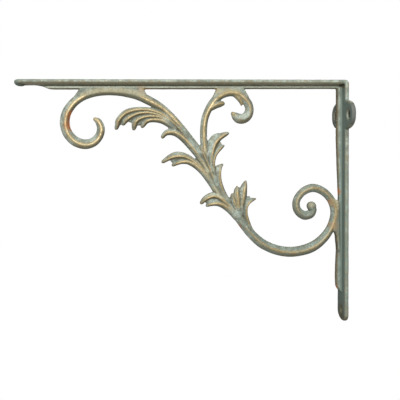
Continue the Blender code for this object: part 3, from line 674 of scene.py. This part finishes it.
mark_crest(UPPER_SCROLL, lambda half: 1.02 * half, share_on_upper_scroll, LEANS["upper_scroll"])
mark_crest(LOWER_SCROLL, lambda half: 1.02 * half, share_on_lower_scroll, LEANS["lower_scroll"])
mark_crest(BRANCH, lambda half: 1.02 * half, share_on_branch, LEANS["branch"])
for stations in [*LEFT_LEAVES.values(), *RIGHT_LEAVES.values()]:
    mark_crest(stations, lambda half: LEAF_HEIGHT, lambda x, z, way: min(0.66, max(0.0, 1.4 - 1.5 * way)))
for stations in THORNS.values():
    mark_crest(stations, lambda half: 1.3 * half, lambda x, z, way: 0.6)
print("crest points:", len(crests))

# %% [markdown]
# Broad patches are rubbed too: the arch where it meets the arm, the top of the small curl, the forks of the
# stem, and the joint beside the spiral.

# %% Broad patches of bronze
PATCHES = [
    [(-213.5, 15.2), (-207.0, 17.8), (-200.0, 19.0), (-190.0, 19.3), (-175.0, 18.2), (-167.0, 15.8),
     (-160.0, 11.6)],
    [(-29.4, -73.2), (-28.6, -74.2)],
    [(-105.0, 18.0), (-97.0, 18.8), (-88.0, 17.8)],
    [(-119.5, -37.5), (-114.0, -43.5), (-109.0, -51.0)],
    [(-107.5, -60.5), (-103.5, -65.5), (-99.0, -70.0)],
    [(-9.6, -70.5), (-8.6, -73.5), (-8.4, -76.5)],
    [(-89.5, -65.0), (-88.0, -70.0), (-87.0, -75.0)],
]
patch_points = []
for patch in PATCHES:
    for x, z, _ in smooth_line([(x, z, 0.0) for x, z in patch], 0.7):
        patch_points += [(x * MM, -3.2 * MM, z * MM), (x * MM, 3.2 * MM, z * MM)]


def nearest(points):
    """A search tree over points."""
    tree = kdtree.KDTree(len(points))
    for index, point in enumerate(points):
        tree.insert(point, index)
    tree.balance()
    return tree


mesh = casting.data
count = len(mesh.vertices)
places = np.empty(count * 3)
mesh.vertices.foreach_get("co", places)
places = places.reshape(-1, 3)
crest_tree, patch_tree = nearest(crests), nearest(patch_points)
found = [crest_tree.find(p) for p in places]
near_crest = np.array([bronze_share[index] * max(0.0, 1.0 - reach / (2.2 * MM)) for _, index, reach in found])
in_patch = np.clip(1.0 - np.array([patch_tree.find(p)[2] for p in places]) / (3.1 * MM), 0.0, 1.0)
tips = [settled(*stations[0][:2]) for stations in [*LEFT_LEAVES.values(), *RIGHT_LEAVES.values()]]
tip_tree = nearest([(x * MM, side * 1.5 * MM, z * MM) for x, z in tips for side in (-1, 1)])
near_tip = np.clip(1.0 - np.array([tip_tree.find(p)[2] for p in places]) / (4.0 * MM), 0.0, 1.0)
print("on crests:", int((near_crest > 0.5).sum()), "in patches:", int((in_patch > 0.5).sum()))

# %% [markdown]
# A hollow is where the skin lies below its own smoothed copy, and an edge is where it stands above. Light falls
# from above and the left, so slopes that face down and away from it, and beside the leg those that face out
# from the spiral, are marked for painted shade.

# %% Mark hollows, edges, and the slopes and rims that get painted shade
SPIRAL_CENTRE = np.array([-28.0, -82.0])
RELIEF = 0.30
ends = np.empty(len(mesh.edges) * 2, dtype=np.int64)
mesh.edges.foreach_get("vertices", ends)
ends = ends.reshape(-1, 2)
links = np.bincount(ends.ravel(), minlength=count).astype(float)[:, None]


def neighbours_mean(values):
    """The mean of each vertex's neighbours."""
    total = np.zeros_like(values)
    for axis in range(values.shape[1]):
        total[:, axis] = (np.bincount(ends[:, 0], values[ends[:, 1], axis], count)
                          + np.bincount(ends[:, 1], values[ends[:, 0], axis], count))
    return total / np.maximum(links, 1.0)


normals = np.empty(count * 3)
mesh.vertices.foreach_get("normal", normals)
normals = normals.reshape(-1, 3)
relaxed = places.copy()
for _ in range(14):
    relaxed = 0.5 * relaxed + 0.5 * neighbours_mean(relaxed)
depth = ((relaxed - places) * normals).sum(axis=1) / MM
for _ in range(3):
    depth = neighbours_mean(depth[:, None])[:, 0]
in_hollow = np.clip(depth / RELIEF, 0.0, 1.0)
on_edge = np.clip(-depth / RELIEF, 0.0, 1.0)
beside_leg = np.clip((places[:, 0] / MM + 75.0) / 30.0, 0.0, 1.0)
from_spiral = places[:, ::2] / MM - SPIRAL_CENTRE
from_spiral /= np.maximum(np.linalg.norm(from_spiral, axis=1), 0.1)[:, None]
outward = (normals[:, ::2] * from_spiral).sum(axis=1) * (1.0 - np.clip(normals[:, 2], 0.0, 1.0))
sideways = (1.0 - beside_leg) * 0.45 * normals[:, 0] + beside_leg * 0.55 * outward
shade_slope = np.clip(sideways - 0.9 * normals[:, 2], 0.0, 1.0) * (1.0 + 0.5 * beside_leg)
# flank is how far a face is turned side-on; it sets where the rims get painted shade.
flank = 1.0 - np.abs(normals[:, 1])
marks = {"crest": near_crest, "patch": in_patch, "tip": near_tip, "hollow": in_hollow,
         "edge": on_edge, "shade_slope": shade_slope, "flank": flank}
for name, values in marks.items():
    attribute = mesh.attributes.new(name, "FLOAT", "POINT")
    attribute.data.foreach_set("value", values)
    print(name, "mean", round(float(values.mean()), 3), "most", round(float(values.max()), 3))

# %% [markdown]
# ## The finish
# Sage-green paint over iron, mottled like old copper, with bronze on the crests and a little rust where damp
# sits: inside the curl, at the joints with the arm and beside the spiral. Shade is painted in the hollows, on
# slopes turned from the light and on rims, and a few highlights are painted too.

# %% Patina material
material = bpy.data.materials.new("patinated_iron")
material.use_nodes = True
nodes, wires = material.node_tree.nodes, material.node_tree.links
shader = nodes["Principled BSDF"]
position = nodes.new("ShaderNodeTexCoord").outputs["Object"]


def noise(scale, detail=4.0, roughness=0.55):
    """Noise at a true scale: scale is cells a metre."""
    node = nodes.new("ShaderNodeTexNoise")
    node.inputs["Scale"].default_value = scale
    node.inputs["Detail"].default_value = detail
    node.inputs["Roughness"].default_value = roughness
    wires.new(position, node.inputs["Vector"])
    return node.outputs["Fac"]


def spread(value, start, end, low_out=0.0, high_out=1.0):
    """Stretches a value between start and end, with soft shoulders."""
    node = nodes.new("ShaderNodeMapRange")
    node.interpolation_type = "SMOOTHSTEP"
    for key, number in (("From Min", start), ("From Max", end), ("To Min", low_out), ("To Max", high_out)):
        node.inputs[key].default_value = number
    wires.new(value, node.inputs["Value"])
    return node.outputs["Result"]


def combined(operation, a, b):
    """Two values, or a value and a number, put together."""
    node = nodes.new("ShaderNodeMath")
    node.operation = operation
    for socket, value in zip(node.inputs, (a, b)):
        if isinstance(value, (int, float)):
            socket.default_value = value
        else:
            wires.new(value, socket)
    return node.outputs["Value"]


def mixed(factor, below, above):
    """One colour laid over another."""
    node = nodes.new("ShaderNodeMix")
    node.data_type = "RGBA"
    wires.new(factor, node.inputs[0])
    for socket, value in ((node.inputs[6], below), (node.inputs[7], above)):
        if isinstance(value, tuple):
            socket.default_value = value
        else:
            wires.new(value, socket)
    return node.outputs[2]


def attribute(name):
    """A value that was marked on the skin."""
    node = nodes.new("ShaderNodeAttribute")
    node.attribute_name = name
    return node.outputs["Fac"]


def spot(x, z, reach):
    """One at a place on the bracket, falling to nothing at reach, all in millimetres."""
    node = nodes.new("ShaderNodeVectorMath")
    node.operation = "DISTANCE"
    node.inputs[1].default_value = (x * MM, 0.0, z * MM)
    wires.new(position, node.inputs[0])
    return spread(node.outputs["Value"], reach * MM, 0.3 * reach * MM)


SAGE = (0.135, 0.170, 0.145, 1.0)
PALE_SAGE = (0.325, 0.390, 0.338, 1.0)
BEIGE = (0.430, 0.400, 0.255, 1.0)
NOSE_BROWN = (0.095, 0.078, 0.048, 1.0)
EAR_GREY = (0.105, 0.112, 0.100, 1.0)
BORE_BLACK = (0.012, 0.014, 0.011, 1.0)
RIB_HIGHLIGHT = (0.480, 0.510, 0.410, 1.0)
DIM_OLIVE = (0.300, 0.290, 0.200, 1.0)
TEAL = (0.135, 0.190, 0.165, 1.0)
BRONZE = (0.300, 0.222, 0.098, 1.0)
PALE_BRONZE = (0.540, 0.445, 0.255, 1.0)
BROWN = (0.165, 0.112, 0.058, 1.0)
OLIVE = (0.118, 0.110, 0.066, 1.0)
SHADOW = (0.085, 0.080, 0.048, 1.0)
UMBER = (0.140, 0.118, 0.072, 1.0)
GREY = (0.150, 0.150, 0.135, 1.0)
RUST = (0.34, 0.110, 0.028, 1.0)
EMBER = (0.560, 0.180, 0.035, 1.0)
OCHRE = (0.340, 0.200, 0.075, 1.0)

# %% [markdown]
# The leg is darker than the rest: teal on the strip's inner face and brown along the rib's nose. The ear
# plate is greyer, with painted shade on its near edge above and below the middle. The arm's rib has a
# painted highlight along it, with painted shade above, where the flange's shadow falls, and below, on its
# rounded lower edge, and the foot darkens to its end with painted shade. Such places are told by the
# object's own coordinates, in millimetres.

# %% Where on the bracket
axes = nodes.new("ShaderNodeSeparateXYZ")
wires.new(position, axes.inputs[0])
along_x, along_y, along_z = (combined("MULTIPLY", axes.outputs[k], 1 / MM) for k in range(3))
across = combined("ABSOLUTE", along_y, 0.0)


def between(value, start, end, soft):
    """One between start and end, fading over a soft edge on either side."""
    return combined("MULTIPLY", spread(value, start - soft / 2, start + soft / 2),
                    spread(value, end + soft / 2, end - soft / 2))


on_leg = combined("MULTIPLY", between(along_x, -9.5, 2.0, 1.0), between(along_z, -175.0, 21.5, 2.0))
inner_face = combined("MULTIPLY", on_leg, between(along_x, -4.9, -3.1, 0.7))
rib_nose = combined("MULTIPLY", on_leg, between(along_x, -9.5, -5.6, 1.2))
rib_front = combined("MULTIPLY", on_leg, between(along_x, -9.5, -6.7, 0.7))
foot_end = combined("MULTIPLY", on_leg, between(along_z, -175.0, -143.0, 3.0))
on_ear = combined("MULTIPLY", between(along_x, -6.0, 2.0, 0.5), between(along_z, -14.0, 14.0, 1.0))
ear_rear = combined("MULTIPLY", on_ear, between(along_y, 5.0, 30.0, 2.0))
ear_front = combined("MULTIPLY", on_ear, between(along_y, -30.0, -21.5, 2.0))
arm_brow = combined("MULTIPLY", between(along_z, 27.3, 29.0, 0.5), between(along_x, -275.0, -1.0, 1.0))
arm_nose = combined("MULTIPLY", between(along_z, 20.0, 29.0, 0.5), between(along_x, -275.0, -263.5, 3.0))
near_spiral = combined("MULTIPLY", between(along_x, -78.0, -9.0, 5.0), between(along_z, -114.0, -44.0, 6.0))
foot_tip = combined("MULTIPLY", on_leg, between(along_z, -172.0, -161.5, 3.0))
along_arm = between(along_x, -262.0, -6.0, 2.0)
on_rib = combined("MULTIPLY", between(across, -1.0, 2.9, 0.3), between(along_x, -250.0, -7.0, 2.0))
above_rib = combined("ADD", along_z, combined("MULTIPLY", along_x, -0.004))
rib_foot = combined("MULTIPLY", on_rib, between(above_rib, 19.0, 22.4, 0.5))
rib_light = combined("MULTIPLY", on_rib, between(above_rib, 22.4, 23.7, 0.5))
arm_shade = combined("MULTIPLY", along_arm, between(along_z, 23.2, 25.9, 0.7))
arm_underside = combined("MULTIPLY", combined("MULTIPLY", along_arm, between(along_z, 23.7, 25.0, 0.4)),
                         spread(across, 9.7, 8.9))

# %% [markdown]
# The lower, inner side of each of the ear's countersinks gets a painted highlight, and the bores get near-black
# painted shade. Both are told by the distance from the hole's axis.

# %% Where on the ear's holes
across_squared = combined("POWER", combined("SUBTRACT", across, EAR_HOLE_OFFSET), 2.0)
height_squared = combined("POWER", combined("ABSOLUTE", along_z, 0.0), 2.0)
from_hole = combined("POWER", combined("ADD", across_squared, height_squared), 0.5)
bore_shade = combined("MULTIPLY", on_ear, spread(from_hole, 3.4, 2.9))
sink_highlight = combined("MULTIPLY", combined("MULTIPLY", on_ear, between(from_hole, 2.8, 4.5, 0.5)),
                   combined("MULTIPLY", spread(across, 17.6, 15.8), spread(along_z, 2.0, 0.0)))

# %% [markdown]
# The finish is built up as a painter would: a coat, then washes that are laid only where a mask lets them.
# The noises have true sizes, from blotches of 7 mm down to grains of half a millimetre.

# %% Noises, marks and the base coat
mottle = noise(140.0)
grain = noise(750.0, 3.0, 0.6)
fine = noise(2200.0, 2.0, 0.6)
specks = noise(1100.0, 2.0)
breaks = noise(420.0)
crest, patch, tip, hollow = attribute("crest"), attribute("patch"), attribute("tip"), attribute("hollow")
edge, shade_slope, flank = attribute("edge"), attribute("shade_slope"), attribute("flank")


def laid(amount, colour, *masks):
    """Lays a colour over what is there, by an amount times every mask."""
    factor = masks[0]
    for mask in masks[1:]:
        factor = combined("MULTIPLY", factor, mask)
    return mixed(combined("MULTIPLY", factor, amount), finish, colour)


finish = mixed(spread(mottle, 0.34, 0.66), SAGE, PALE_SAGE)
finish = laid(0.62, UMBER, spread(grain, 0.44, 0.64))
finish = laid(0.45, PALE_BRONZE, spread(specks, 0.56, 0.68))
# Painted shade: olive on faces turned side-on, darkest at the rims.
finish = laid(0.62, OLIVE, spread(flank, 0.35, 0.95))
# Painted shade: olive on slopes that face down and away from the light, broken by grain.
finish = laid(0.95, OLIVE, spread(shade_slope, 0.10, 0.60), spread(grain, 0.30, 0.62, 1.0, 0.75))

# %% Darker leg and foot, grey ear
finish = laid(0.50, TEAL, on_leg, spread(flank, 0.30, 0.9))
finish = laid(0.45, TEAL, on_leg, between(along_z, -130.0, -45.0, 18.0))
finish = laid(0.30, TEAL, on_leg, between(along_z, -150.0, -98.0, 12.0))
finish = laid(0.18, TEAL, on_leg)
finish = laid(0.40, TEAL, near_spiral)
finish = laid(0.50, TEAL, foot_end, spread(grain, 0.35, 0.65, 1.0, 0.6))
finish = laid(0.90, NOSE_BROWN, rib_nose, spread(flank, 0.0, 0.16), spread(grain, 0.30, 0.60, 1.0, 0.6))
finish = laid(0.70, NOSE_BROWN, rib_front, spread(grain, 0.30, 0.60, 1.0, 0.6))
finish = laid(0.50, BROWN, inner_face, spread(edge, 0.15, 0.7))
finish = laid(0.85, GREY, ear_rear)
finish = laid(0.55, BRONZE, spread(edge, 0.15, 0.9), spread(grain, 0.42, 0.60, 0.1, 1.0))
finish = laid(0.95, EAR_GREY, ear_front)
# Painted shade on the ear's near edge, above and below its middle, broken by mottle.
from_middle = combined("ABSOLUTE", along_z, 0.0)
finish = laid(0.80, SHADOW, ear_front, spread(from_middle, 5.5, 9.5), spread(breaks, 0.3, 0.55))
finish = laid(0.55, TEAL, arm_brow)
finish = laid(0.80, TEAL, arm_nose, spread(grain, 0.35, 0.60, 1.0, 0.6))

# %% [markdown]
# The bronze is rubbed on last, dry and broken: a duller coat on the patches and crests first, and a paler
# one along the crest tops, which is partly bronze and partly a painted highlight.

# %% Bronze on patches and crests
finish = laid(0.40, BRONZE, spread(patch, 0.0, 0.60), spread(grain, 0.32, 0.60, 1.0, 0.3))
rubbed = combined("MULTIPLY", spread(grain, 0.36, 0.58, 0.15, 1.0), spread(breaks, 0.3, 0.5, 0.4, 1.0))
finish = laid(0.80, BEIGE, spread(patch, 0.10, 0.70), rubbed)
worn = combined("MULTIPLY", spread(crest, 0.08, 0.48), spread(grain, 0.30, 0.58, 0.40, 1.0))
finish = laid(1.0, BRONZE, worn)
# Paler bronze along the crest tops, partly rubbed bronze and partly a painted highlight.
bright = combined("MULTIPLY", spread(crest, 0.38, 0.74), spread(breaks, 0.36, 0.58, 0.15, 1.0))
finish = laid(0.85, PALE_BRONZE, bright, spread(grain, 0.30, 0.55, 0.6, 1.0))

# %% Painted shade, rims of the spiral, and painted light and shade along the arm
# Painted shade, darkest where slopes face most down and away from the light.
finish = laid(0.70, SHADOW, spread(shade_slope, 0.85, 1.35))
finish = laid(0.60, BROWN, spread(tip, 0.05, 0.60), spread(flank, 0.25, 0.80))
finish = laid(0.40, TEAL, near_spiral, spread(breaks, 0.44, 0.58))
finish = laid(0.50, UMBER, near_spiral, spread(grain, 0.42, 0.62))
# Painted shade on the spiral's rims, where faces turn side-on.
finish = laid(0.85, SHADOW, near_spiral, spread(flank, 0.42, 0.86), spread(grain, 0.30, 0.60, 1.0, 0.6))
finish = laid(0.50, OLIVE, spot(-212.0, -31.0, 16.0), spread(breaks, 0.34, 0.56))
# Painted shade in the creases and hollows.
finish = laid(0.85, SHADOW, spread(hollow, 0.08, 0.60))
finish = laid(0.60, TEAL, inner_face)
# Painted shade: the band under the arm's flange, where its shadow falls on the rib.
finish = laid(0.75, UMBER, arm_shade, spread(grain, 0.3, 0.6, 1.0, 0.8))
# Painted shade on the flange's underside, lighter than the band around it.
finish = laid(0.90, DIM_OLIVE, arm_underside)
# Painted shade on the rib's rounded lower edge.
finish = laid(0.95, OLIVE, rib_foot)
# Painted shade at the foot's end, broken by grain.
finish = laid(0.85, SHADOW, foot_tip, spread(grain, 0.30, 0.60, 1.0, 0.5))
finish = laid(0.40, UMBER, foot_end, spread(grain, 0.42, 0.60))
# Painted highlight: a pale line along the middle of the arm's rib.
finish = laid(0.95, RIB_HIGHLIGHT, rib_light, spread(grain, 0.34, 0.56, 1.0, 0.6))
# Painted highlight on the lower, inner side of the ear's countersinks.
finish = laid(0.35, PALE_SAGE, sink_highlight)
# Near-black painted shade inside the ear's bores.
finish = laid(0.95, BORE_BLACK, bore_shade)

# %% [markdown]
# Rust sits where water stays: in the curl, at the joints with the arm and the leg, and at the foot of the
# rib. Each place is (x, z, reach). Embers are its brightest orange, and ochre is the stain around it.

# %% Rust, and painted shade around the hole in the foot
RUST_PLACES = [
    (-223.4, -1.5, 7.0), (-224.8, -8.5, 7.5), (-160.5, 20.8, 2.8), (-6.8, -62.0, 4.5), (-12.5, -68.5, 3.6),
    (-5.2, -114.0, 3.0), (-85.5, -90.0, 3.0), (-7.8, -139.5, 3.0),
]
OCHRE_PLACES = [(-166.0, 20.0, 6.0), (-105.0, 19.5, 4.5), (-96.0, 20.5, 4.0),
                (-10.0, -90.0, 6.0), (-12.0, -71.0, 5.0)]
EMBER_PLACES = [(-223.2, 0.2, 4.6)]


def damp_at(places):
    """One at each of the places, and nothing away from them."""
    damp = spot(*places[0])
    for place in places[1:]:
        damp = combined("MAXIMUM", damp, spot(*place))
    return damp


finish = laid(0.85, OCHRE, damp_at(OCHRE_PLACES), spread(breaks, 0.28, 0.50, 0.2, 1.0))
finish = laid(0.95, RUST, damp_at(RUST_PLACES), spread(breaks, 0.26, 0.46, 0.35, 1.0))
finish = laid(0.90, EMBER, damp_at(EMBER_PLACES))
# Painted shade around the hole in the foot, broken by grain.
finish = laid(0.95, SHADOW, spot(-2.6, BOTTOM + END_HOLE_INSET - 1.0, 8.5), spread(grain, 0.3, 0.6, 1.0, 0.75))
wires.new(finish, shader.inputs["Base Color"])

# %% [markdown]
# Rubbed bronze is smoother and more metallic than paint, and the grain also lifts the surface a little.

# %% Gloss, metal and grain
wires.new(spread(worn, 0.0, 1.0, 0.62, 0.42), shader.inputs["Roughness"])
wires.new(combined("MULTIPLY", worn, 0.30), shader.inputs["Metallic"])
shader.inputs["Specular IOR Level"].default_value = 0.3
bump = nodes.new("ShaderNodeBump")
bump.inputs["Strength"].default_value = 0.6
bump.inputs["Distance"].default_value = 0.25 * MM
wires.new(combined("ADD", grain, combined("MULTIPLY", fine, 0.5)), bump.inputs["Height"])
wires.new(bump.outputs["Normal"], shader.inputs["Normal"])
casting.data.materials.clear()
casting.data.materials.append(material)

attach(casting, "root")
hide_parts("bracket")
print("material nodes:", len(nodes))

# %% [markdown]
# ## The stage
# The bracket hangs high on a wall, so the pale floor lies well below it. The key lamp stands in front on
# the left, a soft one hangs above, and a weak one fills in from the right, as in a product studio. A fourth
# lamp behind the bracket lights its other face and leaves the face that the photo shows as it is.

# %% Floor, lamps and world
bpy.ops.mesh.primitive_plane_add(size=3.6, location=(-0.13, 0, -1.3))
floor = bpy.context.object
floor.name = "floor"
pale = bpy.data.materials.new("pale_floor")
pale.use_nodes = True
pale.node_tree.nodes["Principled BSDF"].inputs["Base Color"].default_value = (0.85, 0.85, 0.85, 1)
pale.node_tree.nodes["Principled BSDF"].inputs["Roughness"].default_value = 0.9
floor.data.materials.append(pale)


def lamp(name, location, target, size, power):
    """A square soft lamp aimed at target."""
    bpy.ops.object.light_add(type="AREA", location=location)
    light = bpy.context.object
    light.name = name
    light.data.size = size
    light.data.energy = power
    light.rotation_euler = (Vector(target) - Vector(location)).to_track_quat("-Z", "Y").to_euler()


middle = (-0.13, 0.0, -0.06)
lamp("key", (-0.42, -1.30, 0.37), middle, 0.25, 20.0)
lamp("top", (-0.20, -0.55, 1.10), middle, 0.45, 9.0)
lamp("fill", (0.9, -0.9, 0.4), middle, 0.8, 2.5)
lamp("back", (0.30, 1.35, 0.30), middle, 0.5, 18.0)

world = bpy.data.worlds.new("studio")
world.use_nodes = True
sky = world.node_tree
background = sky.nodes["Background"]
seen = sky.nodes.new("ShaderNodeLightPath").outputs["Is Camera Ray"]
brightness = sky.nodes.new("ShaderNodeMapRange")
brightness.inputs["To Min"].default_value = 0.18
brightness.inputs["To Max"].default_value = 1.0
sky.links.new(seen, brightness.inputs["Value"])
sky.links.new(brightness.outputs["Result"], background.inputs["Strength"])
background.inputs["Color"].default_value = (1.0, 1.0, 1.0, 1.0)
bpy.context.scene.world = world
bpy.context.scene.view_settings.view_transform = "Standard"

# %% [markdown]
# ## The camera
# The photo was taken from nearly half a metre, square on to the bracket's side and level with its upper
# part, and then cropped, so the lens is shifted instead of turned.

# %% Camera
CAMERA_X, CAMERA_DISTANCE, CAMERA_Z = -147.2, 457.0, -24.6
CAMERA_ROLL = 0.0022
CAMERA_LENS = 50.4
CAMERA_SHIFT = (0.0875, -0.1375)
bpy.ops.object.camera_add(location=(CAMERA_X * MM, -CAMERA_DISTANCE * MM, CAMERA_Z * MM),
                          rotation=(math.radians(90), -CAMERA_ROLL, 0))
camera = bpy.context.object
camera.data.lens = CAMERA_LENS
camera.data.shift_x, camera.data.shift_y = CAMERA_SHIFT
bpy.context.scene.camera = camera

# %% Remove the helper sections
for helper in (rod_section, stem_section, flesh_section, thorn_section):
    bpy.data.objects.remove(helper)
